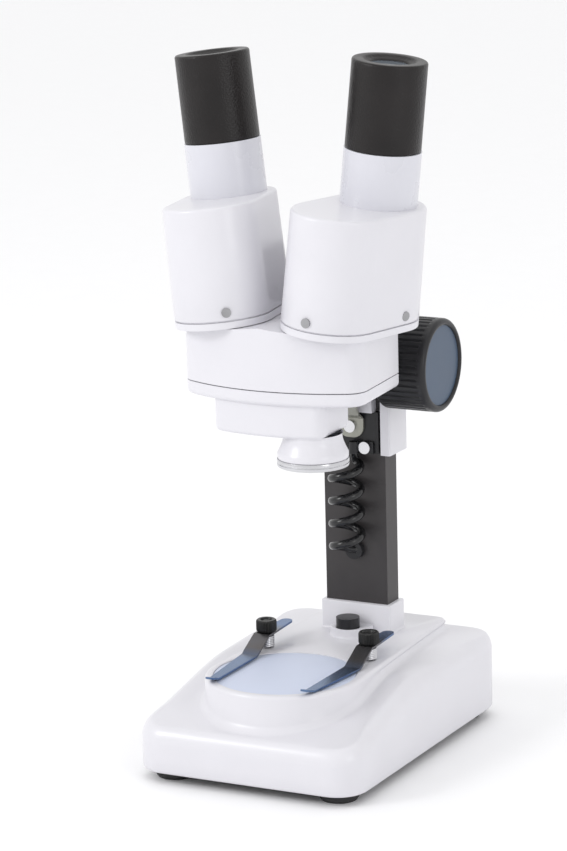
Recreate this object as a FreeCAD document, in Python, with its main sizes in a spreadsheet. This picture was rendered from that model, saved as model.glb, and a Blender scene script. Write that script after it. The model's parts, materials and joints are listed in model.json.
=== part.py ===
import FreeCAD, Part
import math
import os
import re
from FreeCAD import Placement, Rotation, Vector

# A small stereo microscope for children: a moulded base with a stage, a rectangular column, a rack
# focus carriage with a knob on each side, and a head with two swinging prism housings and eyepieces.
# Millimetres. +X is the right side seen from the front, +Y is the back, +Z is up. The origin is the
# point on the table under the middle of the base.

SIZES = [
    # base
    ("base_width", 93.0, "outside width of the base"),
    ("base_depth", 134.0, "outside depth of the base"),
    ("base_corner", 12.0, "plan radius of the base's corners"),
    ("base_wall", 3.0, "wall of the base shell"),
    ("shoulder_mid", 35.2, "height of the sloping top at the middle of the base"),
    ("shoulder_rise", 0.21, "rise of the sloping top per millimetre towards the back"),
    ("shoulder_top", 33.8, "height of the level part of the base, behind the slope"),
    ("shoulder_blend", 9.0, "length over which the slope turns level, on each side of the turn"),
    ("shoulder_fillet", 6.5, "radius of the base's top edges"),
    ("foot_height", 4.0, "height of the rubber feet under the shell"),
    ("foot_radius", 7.5, "radius of a rubber foot"),
    ("foot_inset_x", 12.0, "from the base's side to the middle of a foot"),
    ("foot_inset_y", 12.5, "from the base's front or back to the middle of a foot"),
    ("plate_thick", 2.6, "thickness of the bottom plate"),
    ("boss_radius", 3.6, "radius of the screw bosses inside the base"),
    ("boss_inset_x", 7.5, "from the base's side to the middle of a screw boss"),
    ("boss_inset_y", 30.0, "from the base's front or back to the middle of a screw boss"),
    # platform, stage and clips
    ("platform_top", 37.2, "height of the raised platform"),
    ("platform_draft", 3.6, "how much wider the platform is at the bottom plate, on each side"),
    ("platform_corner", 4.0, "plan radius of the platform's back corners"),
    ("platform_back", 63.0, "where the platform ends at the back"),
    ("platform_back_half", 25.6, "half width of the platform at its back"),
    ("stage_y", -29.5, "middle of the stage"),
    ("stage_rim", 3.5, "width of the rim around the stage plate"),
    ("stage_radius", 27.0, "radius of the stage plate"),
    ("stage_thick", 2.0, "thickness of the stage plate"),
    ("stage_recess", 0.4, "how far the stage plate lies below its rim"),
    ("clip_x", 22.0, "clip post's distance from the middle"),
    ("clip_y", -2.0, "clip post's place, front to back"),
    ("clip_post_radius", 1.6, "radius of the clip's shoulder screw"),
    ("clip_head_radius", 4.0, "radius of the clip screw's knurled head"),
    ("clip_head_height", 4.8, "height of the clip screw's head"),
    ("clip_lift", 5.6, "height of the clip strip above the platform at the post"),
    ("clip_gap", 0.25, "air between the clip strip's front and the platform"),
    ("clip_thick", 0.8, "thickness of the clip strip"),
    ("clip_tail", 19.0, "length of the clip strip behind the post"),
    ("clip_bend", 14.5, "from the post to the bend of the strip"),
    ("clip_reach", 52.0, "length of the clip strip in front of the post"),
    ("clip_half_width", 3.4, "half width of the clip strip"),
    ("clip_toe", 2.0, "how far the tip turns towards the middle"),
    # socket, column and rack
    ("column_y", 38.0, "middle of the column"),
    ("column_width", 26.5, "column, left to right"),
    ("column_depth", 9.7, "column, front to back"),
    ("column_top", 190.0, "top of the column"),
    ("column_foot", 27.0, "bottom of the column inside the base"),
    ("column_bore", 4.0, "depth of the column's wire channel"),
    ("socket_top", 48.7, "top of the socket around the column"),
    ("socket_wall", 1.75, "wall of the socket"),
    ("socket_fit", 0.05, "play between column and socket"),
    ("cap_height", 3.0, "height of the column's cap"),
    ("rack_width", 8.0, "width of the rack"),
    ("rack_bottom", 113.0, "lower end of the rack"),
    ("rack_length", 70.0, "length of the rack"),
    ("gear_module", 0.8, "module of rack and pinion"),
    ("pinion_teeth", 11, "teeth of the pinion"),
    ("rack_sink", 0.95, "how far the rack's pitch line lies behind the column's front"),
    ("gear_relief", 0.12, "how much each tooth is thinned for play"),
    # button
    ("button_y", 24.5, "middle of the push button"),
    ("button_radius", 4.6, "radius of the push button"),
    ("button_height", 4.0, "height of the button above its boss"),
    ("button_travel", 2.0, "travel of the button"),
    ("button_boss_y", 28.0, "middle of the rounded boss around the button"),
    ("button_boss_radius", 8.4, "radius of the boss around the button"),
    ("button_boss_height", 3.6, "height of that boss"),
    # batteries
    ("cell_radius", 7.2, "radius of an AA cell"),
    ("cell_length", 50.5, "length of an AA cell"),
    ("cell_pitch", 15.2, "distance between the two cells"),
    ("cell_y", -8.0, "middle of the cells"),
    ("door_width", 34.0, "battery door, left to right"),
    ("door_length", 58.0, "battery door, front to back"),
    ("door_travel", 22.0, "how far the battery door slides towards the front"),
    ("door_lip", 0.6, "thickness of the lips that hold the battery door"),
    ("door_thick", 1.0, "thickness of the battery door"),
    # carriage
    ("carriage_half", 17.3, "half width of the focus carriage"),
    ("carriage_bottom", 109.6, "lower end of the carriage"),
    ("carriage_top", 165.0, "upper end of the carriage"),
    ("carriage_front", 29.0, "front of the carriage's cheeks"),
    ("carriage_back", 44.6, "back of the carriage"),
    ("slide_fit", 0.1, "play between carriage and column"),
    ("gearbox_front", 18.5, "front of the block that holds the pinion"),
    ("gearbox_bottom", 137.0, "bottom of that block"),
    ("gearbox_top", 158.0, "top of that block"),
    ("front_plate_half", 11.5, "half width of the black front plate"),
    ("front_plate_thick", 1.8, "thickness of the black front plate"),
    ("bridge_bottom", 126.0, "bottom of the narrow block above the front plate"),
    ("bridge_half", 9.7, "half width of that block"),
    ("knob_z", 147.2, "height of the knob axis"),
    ("knob_radius", 18.0, "radius of a focus knob"),
    ("knob_outer", 40.2, "outer end of a focus knob"),
    ("knob_inner", 18.2, "inner end of a focus knob"),
    ("knob_rim", 2.6, "width of the rounded rim around the knob's end disc"),
    ("knob_recess", 1.0, "depth of the knob's end disc below the rim"),
    ("knob_edge", 2.0, "radius of the knob's outer edge"),
    ("shaft_radius", 2.0, "radius of the pinion shaft"),
    ("shaft_fit", 0.04, "play between shaft and bushing"),
    ("bushing_radius", 2.8, "outer radius of a bushing"),
    # head
    ("arm_half", 14.0, "half width of the arm to the head"),
    ("arm_bottom", 151.0, "bottom of the arm"),
    ("arm_top", 163.0, "top of the arm"),
    ("head_front_half", 37.2, "half width of the head at its front corners"),
    ("head_back_half", 34.4, "half width of the head at its back"),
    ("head_front", -44.6, "foremost line of the head"),
    ("head_side", -34.8, "where the bowed front meets the sides"),
    ("head_back", 2.2, "back of the head"),
    ("head_corner", 8.0, "plan radius of the head's front corners"),
    ("head_wall", 2.5, "wall of the head"),
    ("head_bottom", 144.0, "bottom of the head"),
    ("head_seam", 149.6, "seam between the head's lower and upper shell"),
    ("seam_gap", 0.4, "shadow groove at that seam"),
    ("head_edge", 2.0, "radius of the head's lower edge"),
    ("block_half", 23.0, "half width of the objective block"),
    ("block_front", -42.6, "front of the objective block"),
    ("block_side", -39.0, "where its bowed front meets its sides"),
    ("block_back", -16.0, "back of the objective block"),
    ("block_bottom", 131.6, "bottom of the objective block"),
    ("block_taper", 1.3, "how much narrower the block is at its bottom"),
    ("nose_x", 13.7, "objective barrel's distance from the middle"),
    ("nose_y", -29.0, "objective barrel, front to back"),
    ("nose_top_radius", 10.9, "radius of the barrel under the block"),
    ("nose_radius", 13.3, "radius of the barrel's flared end"),
    ("nose_flare", 7.2, "height of the flare"),
    ("nose_land", 2.0, "height of the straight part under the flare"),
    ("ring_height", 3.0, "height of the bright ring"),
    ("ring_radius", 13.5, "radius of the bright ring"),
    ("lens_radius", 8.5, "radius of an objective lens"),
    ("lens_thick", 3.0, "thickness of an objective lens"),
    ("light_bore", 5.8, "radius of the light paths inside the head"),
    # prism housings and eyepieces, in the frame of each tilted eyepiece axis
    ("tilt_angle", 6.15, "outward tilt of each eyepiece axis"),
    ("axis_x", 26.4, "where the eyepiece axis meets the housing's bottom, from the middle"),
    ("axis_y", -5.8, "eyepiece axis, front to back"),
    ("axis_z", 170.4, "height of that point"),
    ("housing_gap", 0.3, "air between a housing and the head"),
    ("housing_plate", 2.5, "thickness of a housing's bottom plate"),
    ("housing_height", 42.5, "height of a housing shell"),
    ("housing_bottom_radius", 18.5, "end radius of a housing at its bottom"),
    ("housing_top_radius", 18.0, "end radius of a housing at its top"),
    ("housing_wall", 2.2, "wall of a housing"),
    ("lobe_x", 4.5, "front end of a housing, towards the middle"),
    ("lobe_y", 23.2, "front end of a housing, towards the front"),
    ("swivel_radius", 7.2, "radius of the housing's swivel spigot"),
    ("swivel_fit", 0.05, "play of the spigot in the head"),
    ("swivel_ring", 1.0, "radial width of the spigot's retaining ring"),
    ("prism_size", 14.0, "edge of the rhomboid prism's faces"),
    ("tube_radius", 14.5, "radius of an eyepiece tube"),
    ("tube_wall", 2.3, "wall of an eyepiece tube"),
    ("tube_length", 20.4, "visible length of an eyepiece tube"),
    ("tube_root", 6.0, "length of the tube inside the housing"),
    ("cup_radius", 14.2, "radius of an eyepiece"),
    ("cup_length", 33.2, "length of an eyepiece above its tube"),
    ("cup_hole", 7.2, "radius of the eyepiece's opening"),
    ("cup_recess", 1.8, "depth of the eye lens below the eyepiece's rim"),
    ("eye_lens_thick", 2.5, "thickness of an eye lens"),
    ("eyepiece_fit", 0.08, "play of the eyepiece in its tube"),
    ("eyepiece_plug", 14.0, "length of the eyepiece inside its tube"),
    # lamp and cord
    ("lamp_radius", 6.0, "radius of the lamp"),
    ("lamp_length", 14.0, "length of the lamp"),
    ("lamp_y", -3.5, "lamp's upper end, front to back"),
    ("lamp_z", 138.0, "height of the lamp's upper end"),
    ("tab_half", 5.5, "half width of the lamp bracket's tab"),
    ("tab_bottom", 115.6, "bottom of that tab"),
    ("tab_fold", 123.0, "height of the fold above the tab"),
    ("sheet_metal", 1.0, "thickness of the lamp bracket"),
    ("clamp_x", 6.2, "cord clamp, from the middle"),
    ("clamp_z", 111.9, "height of the cord clamp's screw"),
    ("coil_gap", 0.35, "air between the coiled cord and the column"),
    ("cord_bottom", 68.0, "lower end of the coiled cord"),
    ("cord_top", 107.6, "upper end of the coiled cord"),
    ("coil_radius", 7.3, "outer radius of the coiled cord"),
    ("cord_radius", 1.4, "radius of the cord itself"),
]

doc = FreeCAD.newDocument("stereo_microscope")
sheet = doc.addObject("Spreadsheet::Sheet", "Sizes")
for row, (alias, value, note) in enumerate(SIZES, start=1):
    sheet.set("A%d" % row, alias)
    sheet.set("B%d" % row, str(value))
    sheet.set("C%d" % row, note)
    sheet.setAlias("B%d" % row, alias)
doc.recompute()
size = {alias: float(sheet.get(alias)) for alias, value, note in SIZES}
nodes = []


# --- helpers: objects whose sizes are bound to the sheet -------------------------------------------

def bound(text):
    """The expression with every size's name pointing at the sheet."""
    return re.sub(r"[a-z]+(?:_[a-z]+)+", lambda word: "Sizes." + word.group(0), str(text))


def bind(thing, **properties):
    for name, text in properties.items():
        thing.setExpression(name, bound(text))


def put(thing, x, y, z):
    thing.setExpression("Placement.Base.x", bound(x))
    thing.setExpression("Placement.Base.y", bound(y))
    thing.setExpression("Placement.Base.z", bound(z))
    return thing


def box(x_low, x_size, y_low, y_size, z_low, z_size):
    thing = doc.addObject("Part::Box", "box")
    bind(thing, Length=x_size, Width=y_size, Height=z_size)
    return put(thing, x_low, y_low, z_low)


TURNS = {"X": Rotation(Vector(0, 1, 0), 90), "Y": Rotation(Vector(1, 0, 0), -90), "Z": Rotation()}


def cylinder(radius, length, x, y, z, along="Z"):
    thing = doc.addObject("Part::Cylinder", "cylinder")
    bind(thing, Radius=radius, Height=length)
    thing.Placement = Placement(Vector(), TURNS[along])
    return put(thing, x, y, z)


def cone(low_radius, high_radius, length, x, y, z, along="Z"):
    thing = doc.addObject("Part::Cone", "cone")
    bind(thing, Radius1=low_radius, Radius2=high_radius, Height=length)
    thing.Placement = Placement(Vector(), TURNS[along])
    return put(thing, x, y, z)


def fuse(*things):
    thing = doc.addObject("Part::MultiFuse", "fuse")
    thing.Shapes = list(things)
    return thing


def cut(base, *tools):
    thing = doc.addObject("Part::Cut", "cut")
    thing.Base = base
    thing.Tool = tools[0] if len(tools) == 1 else fuse(*tools)
    return thing


def group(*things):
    """Separate solids that share one node."""
    thing = doc.addObject("Part::Compound", "group")
    thing.Links = list(things)
    return thing


def shaped(shape):
    """A node whose shape comes from Part's own functions, with its sizes read from the sheet."""
    thing = doc.addObject("Part::Feature", "shape")
    thing.Shape = shape
    return thing


def node(name, thing, placement=None):
    thing.Label = name
    if placement is not None:
        thing.Placement = placement.multiply(thing.Placement)
    nodes.append(thing)
    return thing


# --- helpers: outlines and solids made in code -----------------------------------------------------

def hull(circles, z_low):
    """The wire around circles (x, y, radius) given anticlockwise, at one height."""
    count = len(circles)
    tangents = []
    for i in range(count):
        (ax, ay, ar), (bx, by, br) = circles[i], circles[(i + 1) % count]
        step = Vector(bx - ax, by - ay, 0)
        along = step * (1.0 / step.Length)
        lean = (ar - br) / step.Length
        normal = along * lean + Vector(along.y, -along.x, 0) * math.sqrt(1 - lean * lean)
        tangents.append((Vector(ax, ay, z_low) + normal * ar, Vector(bx, by, z_low) + normal * br, normal))
    edges = []
    for i in range(count):
        start, end, normal = tangents[i]
        edges.append(Part.LineSegment(start, end).toShape())
        centre = Vector(circles[(i + 1) % count][0], circles[(i + 1) % count][1], z_low)
        radius = circles[(i + 1) % count][2]
        following = tangents[(i + 1) % count]
        a = math.atan2(normal.y, normal.x)
        b = math.atan2(following[2].y, following[2].x)
        if b < a:
            b += 2 * math.pi
        middle = centre + Vector(math.cos((a + b) / 2), math.sin((a + b) / 2), 0) * radius
        edges.append(Part.Arc(end, middle, following[0]).toShape())
    return Part.Wire(edges)


def prism(wire, height):
    return Part.Face(wire).extrude(Vector(0, 0, height))


def rounded_box(half_x, y_low, y_high, corner, z_low, height):
    x = half_x - corner
    circles = [(-x, y_low + corner, corner), (x, y_low + corner, corner),
               (x, y_high - corner, corner), (-x, y_high - corner, corner)]
    return prism(hull(circles, z_low), height)


def block(x_low, x_high, y_low, y_high, z_low, z_high):
    return Part.makeBox(x_high - x_low, y_high - y_low, z_high - z_low, Vector(x_low, y_low, z_low))


def rod(radius, low, high, x, y):
    """An upright cylinder between two heights."""
    return Part.makeCylinder(radius, high - low, Vector(x, y, low))


def upright_edges(solid, test):
    """The solid's vertical edges whose place passes the test."""
    found = []
    for edge in solid.Edges:
        box_of = edge.BoundBox
        if box_of.XLength < 0.01 and box_of.YLength < 0.01 and test(box_of.Center):
            found.append(edge)
    return found


def flat_edges(solid, z):
    return [edge for edge in solid.Edges if edge.BoundBox.ZLength < 0.001 and abs(edge.BoundBox.ZMin - z) < 0.001]


# --- sides of the head: the frame of each eyepiece axis -------------------------------------------

SIDES = (("left", -1), ("right", 1))


def axis_frame(side):
    """From a tilted eyepiece axis, with the housing's bottom at z = 0, to the microscope."""
    turn = Rotation(Vector(0, 1, 0), side * size["tilt_angle"])
    return Placement(Vector(side * size["axis_x"], size["axis_y"], size["axis_z"]), turn)


def lobe_centre(side):
    return -side * size["lobe_x"], -size["lobe_y"]


# --- base --------------------------------------------------------------------------------------------

def platform_circles(inset):
    corner = size["platform_corner"]
    back = size["platform_back"] - corner
    half = size["platform_back_half"] - corner
    rim = size["stage_radius"] + size["stage_rim"]
    return [(0, size["stage_y"], rim - inset), (half, back, corner - inset), (-half, back, corner - inset)]


def platform_solid(inset, z_low, z_high):
    """The tapering platform: wider at the bottom by its draft."""
    spread = size["platform_draft"]
    low = hull(platform_circles(inset - spread), z_low)
    high = hull(platform_circles(inset), z_high)
    return Part.makeLoft([low, high], True, True)


def wedge(inset):
    """The body of the base, sloping up to the back and then level, drawn in from its outside by inset."""
    half_x = size["base_width"] / 2 - inset
    half_y = size["base_depth"] / 2 - inset
    floor = size["foot_height"]
    solid = rounded_box(half_x, -half_y, half_y, size["base_corner"] - inset, floor, size["platform_top"])
    rise = size["shoulder_rise"]
    half_turn = math.atan(rise) / 2
    reach = size["base_depth"]
    blend = size["shoulder_blend"]
    radius = blend / math.tan(half_turn)
    level = size["shoulder_top"] - inset
    turn = (size["shoulder_top"] - size["shoulder_mid"]) / rise
    low = Vector(-reach, -reach, level - rise * (turn + reach))
    start = Vector(-reach, turn - blend * math.cos(2 * half_turn), level - blend * math.sin(2 * half_turn))
    end = Vector(-reach, turn + blend, level)
    middle = Vector(-reach, end.y - radius * math.sin(half_turn), level - radius * (1 - math.cos(half_turn)))
    back = Vector(-reach, reach, level)
    lid = Part.Wire([Part.LineSegment(low, start).toShape(), Part.Arc(start, middle, end).toShape(),
                     Part.makePolygon([end, back, Vector(-reach, reach, 3 * reach),
                                       Vector(-reach, -reach, 3 * reach), low])])
    return solid.cut(Part.Face(lid).extrude(Vector(2 * reach, 0, 0)))


def base_shell():
    boss_x = size["base_width"] / 2 - size["boss_inset_x"]
    boss_y = size["base_depth"] / 2 - size["boss_inset_y"]
    outer = wedge(0)
    rim = [edge for edge in outer.Edges if edge.BoundBox.ZMin > size["foot_height"] + 1
           and edge.BoundBox.XLength + edge.BoundBox.YLength > 1
           and not (abs(edge.CenterOfMass.x) < 1 and abs(edge.CenterOfMass.y) < size["base_depth"] / 2 - 1)]
    outer = outer.makeFillet(size["shoulder_fillet"], rim)
    floor = size["foot_height"]
    top = size["platform_top"]
    wall = size["base_wall"]
    platform = platform_solid(0, floor, top)
    platform = platform.makeFillet(1.2, flat_edges(platform, top))
    outer = outer.fuse(platform.common(rounded_box(size["base_width"] / 2 - 1, -size["base_depth"] / 2 + 1,
                                                   size["base_depth"] / 2 - 1, size["base_corner"],
                                                   floor, top)))
    inner = wedge(wall).fuse(platform_solid(wall, floor, top - wall))
    shell = outer.cut(inner)
    inside = []
    for sx in (-1, 1):
        for sy in (-1, 1):
            inside.append(rod(size["boss_radius"], floor + size["plate_thick"], top,
                              sx * boss_x, sy * boss_y))
    inside.append(rod(size["stage_radius"] + 1, top - size["stage_recess"] - size["stage_thick"] - 1.6, top - 1,
                      0, size["stage_y"]))
    for side in (-1, 1):
        inside.append(rod(3.6, top - 10, top - 1, side * size["clip_x"], size["clip_y"]))
    half_x = size["column_width"] / 2 + size["socket_wall"]
    half_y = size["column_depth"] / 2 + size["socket_wall"]
    y = size["column_y"]
    pocket = block(-half_x, half_x, y - half_y, y + half_y, size["column_foot"] - 3, size["socket_top"])
    pocket = pocket.makeFillet(0.8, upright_edges(pocket, lambda place: True))
    shell = shell.fuse([solid.common(outer) for solid in inside])
    boss = rod(size["button_boss_radius"], top - 1, top + size["button_boss_height"], 0, size["button_boss_y"])
    bridge = block(-size["button_boss_radius"], size["button_boss_radius"], size["button_boss_y"],
                   y - half_y + 0.5, top - 1, top + size["button_boss_height"])
    shell = shell.fuse([pocket, boss, bridge]).removeSplitter()
    fit = size["socket_fit"]
    half_x = size["column_width"] / 2 + fit
    half_y = size["column_depth"] / 2 + fit
    tools = [block(-half_x, half_x, y - half_y, y + half_y, size["column_foot"], size["socket_top"] + 1),
             rod(size["stage_radius"] + 0.15, top - size["stage_recess"] - size["stage_thick"], top + 1,
                 0, size["stage_y"]),
             rod(size["button_radius"] + 0.08, top - wall - 1, top + size["button_boss_height"] + 1,
                 0, size["button_y"]),
             rod(4.0, size["column_foot"] - 4, size["column_foot"] + 1, 0, y)]
    for side in (-1, 1):
        tools.append(rod(size["clip_post_radius"], top - 11, top + 1, side * size["clip_x"], size["clip_y"]))
        tools.append(rod(1.5, size["column_foot"] - 4, size["column_foot"] + 1, side * 9.6, y))
        for end in (-1, 1):
            tools.append(rod(1.2, floor, floor + 9, side * boss_x, end * boss_y))
    return shell.cut(tools)


node("base_shell", shaped(base_shell()))


def bottom_plate():
    boss_x = size["base_width"] / 2 - size["boss_inset_x"]
    boss_y = size["base_depth"] / 2 - size["boss_inset_y"]
    inset = size["base_wall"] + 0.1
    half_x = size["base_width"] / 2 - inset
    half_y = size["base_depth"] / 2 - inset
    floor = size["foot_height"]
    thick = size["plate_thick"]
    plate = rounded_box(half_x, -half_y, half_y, size["base_corner"] - inset, floor, thick)
    y = size["cell_y"]
    door_x = size["door_width"] / 2
    door_y = size["door_length"] / 2
    bay_top = floor + thick + 2 * size["cell_radius"]
    bay = block(-door_x, door_x, y - door_y, y + door_y, floor + thick, bay_top + 1.2)
    plate = plate.fuse(bay)
    inside = block(-door_x + 1.2, door_x - 1.2, y - door_y + 1.2, y + door_y - 1.2, floor + 1, bay_top)
    front = y - door_y - size["door_travel"]
    lip = floor + size["door_lip"]
    mouth = block(-door_x + 1.2, door_x - 1.2, front, y + door_y, floor - 1, lip + 0.1)
    track = block(-door_x, door_x, front, y + door_y, lip, lip + size["door_thick"] + 0.2)
    tools = [inside, mouth, track]
    for side in (-1, 1):
        for end in (-1, 1):
            tools.append(rod(1.6, floor - 1, floor + 3, side * boss_x, end * boss_y))
    return plate.cut(tools)


node("bottom_plate", shaped(bottom_plate()))

door = box("-door_width / 2 + 0.2", "door_width - 0.4", "cell_y - door_length / 2 + 0.2", "door_length - 0.4",
           "foot_height + door_lip + 0.1", "door_thick")
door_grip = box("-8", 16, "cell_y - door_length / 2 + 4", 1.2, "foot_height - 0.2", "door_lip + 0.4")
node("battery_door", fuse(door, door_grip))


def corner_places(span_x, span_y):
    return [("%s * %s / 2" % (sx, span_x), "%s * %s / 2" % (sy, span_y)) for sx in (-1, 1) for sy in (-1, 1)]


feet = []
for x, y in corner_places("(base_width - 2 * foot_inset_x)", "(base_depth - 2 * foot_inset_y)"):
    sole = cone("foot_radius - 0.8", "foot_radius", 1.2, x, y, 0)
    feet.append(fuse(sole, cylinder("foot_radius", "foot_height - 1.2", x, y, 1.2)))
node("rubber_feet", group(*feet))

screws = []
for x, y in corner_places("(base_width - 2 * boss_inset_x)", "(base_depth - 2 * boss_inset_y)"):
    head = cylinder(2.6, 1.2, x, y, "foot_height - 1.2")
    screws.append(fuse(head, cylinder(1.2, 8.5, x, y, "foot_height - 0.1")))
node("base_screws", group(*screws))

screws = []
for side in (-1, 1):
    head = cylinder(2.8, 1.6, side * 9.6, "column_y", "column_foot - 4.6")
    screws.append(fuse(head, cylinder(1.5, 12, side * 9.6, "column_y", "column_foot - 3.1")))
node("column_screws", group(*screws))

cells = []
springs = []
for side in (-1, 1):
    x = "%d * cell_pitch / 2" % side
    z = "foot_height + door_lip + door_thick + 0.4 + cell_radius"
    can = cylinder("cell_radius", "cell_length - 1.4", x, "cell_y - cell_length / 2", z, "Y")
    tip = cylinder(2.7, 1.5, x, "cell_y + cell_length / 2 - 1.5", z, "Y")
    cells.append(fuse(can, tip))
    spring = cone(3.4, 2.2, "(door_length - cell_length) / 2 - 1.7", x, "cell_y - door_length / 2 + 1.7", z, "Y")
    leaf = box("%s - 4.5" % x, 9, "cell_y - door_length / 2 + 1.2", 0.5, "%s - 5" % z, 9)
    stud = box("%s - 4.5" % x, 9, "cell_y + door_length / 2 - 1.7", 0.5, "%s - 5" % z, 9)
    bump = cylinder(3.0, "(door_length - cell_length) / 2 - 1.7", x, "cell_y + cell_length / 2", z, "Y")
    springs.append(fuse(spring, leaf))
    springs.append(fuse(stud, bump))
node("batteries", group(*cells))
node("battery_contacts", group(*springs))

stage = cylinder("stage_radius", "stage_thick", 0, "stage_y", "platform_top - stage_recess - stage_thick")
node("stage_plate", stage)

button = fuse(cylinder("button_radius", "button_boss_height + button_height + base_wall + 0.5", 0, "button_y",
                       "platform_top - base_wall - 0.5"),
              cylinder("button_radius + 1.3", 1.0, 0, "button_y", "platform_top - base_wall - 1.2"))
node("power_button", button)
switch_top = "platform_top - base_wall - 1.5 - button_travel"
switch = fuse(box(-5.5, 11, "button_y - 5", "column_y - column_depth / 2 - socket_wall - button_y + 5",
                  switch_top + " - 8", 7.5),
              cylinder(2.0, 1.0, 0, "button_y", switch_top + " - 0.8"))
node("power_switch", switch)

# --- stage clips -------------------------------------------------------------------------------------

def clip_strip(side):
    """A spring-steel strip: level over the post, sloping down to a bend, level again, with a raised tip."""
    x = side * size["clip_x"]
    y = size["clip_y"]
    high = size["platform_top"] + size["clip_lift"]
    low = size["platform_top"] + size["clip_gap"]
    thick = size["clip_thick"]
    tail = y + size["clip_tail"]
    bend = y - size["clip_bend"]
    tip = y - size["clip_reach"]
    run = [(tail, high), (y - 4.0, high), (bend, low), (tip + 6.0, low), (tip, low + 1.8)]
    over = [(place, z + thick) for place, z in run]
    points = [Vector(0, place, z) for place, z in run + over[::-1]]
    ribbon = Part.Face(Part.makePolygon(points + points[:1])).extrude(Vector(200, 0, 0))
    ribbon.translate(Vector(-100, 0, 0))
    half = size["clip_half_width"]
    toe = x - side * size["clip_toe"]
    circles = [(toe, tip + 1.6, 1.6), (x, bend + 2.0, half), (x, y, half), (x, tail - 2.4, 2.4), (x, y, half),
               (x, bend + 2.0, half)]
    parts = [prism(hull(pair, low - 1), high - low + 4)
             for pair in (circles[0:2], circles[1:3], circles[2:4])]
    plan = parts[0].fuse(parts[1:]).removeSplitter()
    hole = rod(size["clip_post_radius"] + 0.06, low - 1, high + 3, x, y)
    return plan.common(ribbon).cut(hole)


for name, side in SIDES:
    x = "%d * clip_x" % side
    head_z = "platform_top + clip_lift + clip_thick + 0.1"
    post = cylinder("clip_post_radius", "clip_lift + clip_thick + 9.6", x, "clip_y", "platform_top - 9")
    head = cylinder("clip_head_radius", "clip_head_height", x, "clip_y", head_z)
    node("clip_screw_" + name, cut(fuse(post, head), cylinder(1.5, 1.5, x, "clip_y",
                                                              head_z + " + clip_head_height - 1.4")))
    spring = cut(cylinder(3.1, "clip_lift - 0.25", x, "clip_y", "platform_top"),
                 cylinder(2.1, "clip_lift + 1", x, "clip_y", "platform_top - 0.5"))
    node("clip_spring_" + name, spring)
    node("clip_strip_" + name, shaped(clip_strip(side)))

# --- column and rack -----------------------------------------------------------------------------------

rack_depth = 2.0
column_front = "column_y - column_depth / 2"
rack_root = size["column_y"] - size["column_depth"] / 2 + size["rack_sink"] + size["gear_module"]


def rack_solid():
    """A bar in the column's groove, with straight-sided teeth towards the front."""
    module = size["gear_module"]
    pitch = math.pi * module
    relief = size["gear_relief"]
    tip_y = rack_root - 2.0 * module
    low = size["rack_bottom"]
    count = int(size["rack_length"] / pitch)
    middle = size["knob_z"]
    first = middle - pitch * math.floor((middle - low - pitch / 2) / pitch)
    half_tip = pitch / 4 - math.tan(math.radians(20)) * module - relief
    half_root = pitch / 4 + math.tan(math.radians(20)) * module - relief
    bar = block(-size["rack_width"] / 2, size["rack_width"] / 2, rack_root, rack_root + rack_depth,
                low, low + size["rack_length"])
    teeth = []
    for i in range(count):
        z = first + i * pitch
        if z + half_root < low + size["rack_length"]:
            points = [Vector(-size["rack_width"] / 2, rack_root + 0.01, z - half_root),
                      Vector(-size["rack_width"] / 2, tip_y, z - half_tip),
                      Vector(-size["rack_width"] / 2, tip_y, z + half_tip),
                      Vector(-size["rack_width"] / 2, rack_root + 0.01, z + half_root)]
            teeth.append(Part.Face(Part.makePolygon(points + points[:1])).extrude(Vector(size["rack_width"], 0, 0)))
    return bar.fuse(teeth).removeSplitter()


groove = box("-rack_width / 2", "rack_width", column_front + " - 1", "rack_sink + gear_module + %s + 1" % rack_depth,
             "rack_bottom", "rack_length")
channel = box("-6", 12, "column_y - column_bore / 2 + 1.9", "column_bore", "column_foot - 1", "column_top")
gland_hole = cylinder(2.6, "column_depth / 2 + 1", 0, column_front + " - 0.5", "cord_bottom + cord_radius + 0.6", "Y")
screw_holes = [cylinder(1.5, 12, side * 9.6, "column_y", "column_foot - 3.1") for side in (-1, 1)]
bar = box("-column_width / 2", "column_width", column_front, "column_depth", "column_foot", "column_top - column_foot")
node("column", cut(bar, groove, channel, gland_hole, *screw_holes))
cap = box("-column_width / 2 - 0.6", "column_width + 1.2", column_front + " - 0.6", "column_depth + 1.2",
          "column_top", "cap_height")
node("column_cap", fuse(cap, box("-5.9", 11.8, "column_y - column_bore / 2 + 2.0", "column_bore - 0.2",
                                 "column_top - 6", 6.5)))
node("rack", shaped(rack_solid()))
gland = fuse(cylinder(2.6, 2.6, 0, column_front, "cord_bottom + cord_radius + 0.6", "Y"),
             cylinder(3.6, "coil_gap + 2.2", 0, column_front + " - coil_gap - 2.2",
                      "cord_bottom + cord_radius + 0.6", "Y"))
node("cord_gland", gland)
node("lamp_cord", cylinder("coil_radius", "cord_top - cord_bottom", 0,
                           column_front + " - coil_radius - coil_gap", "cord_bottom"))

# --- focus carriage, knobs and pinion ------------------------------------------------------------------

pitch_radius = size["gear_module"] * size["pinion_teeth"] / 2
knob_y = rack_root - size["gear_module"] - pitch_radius


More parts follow.
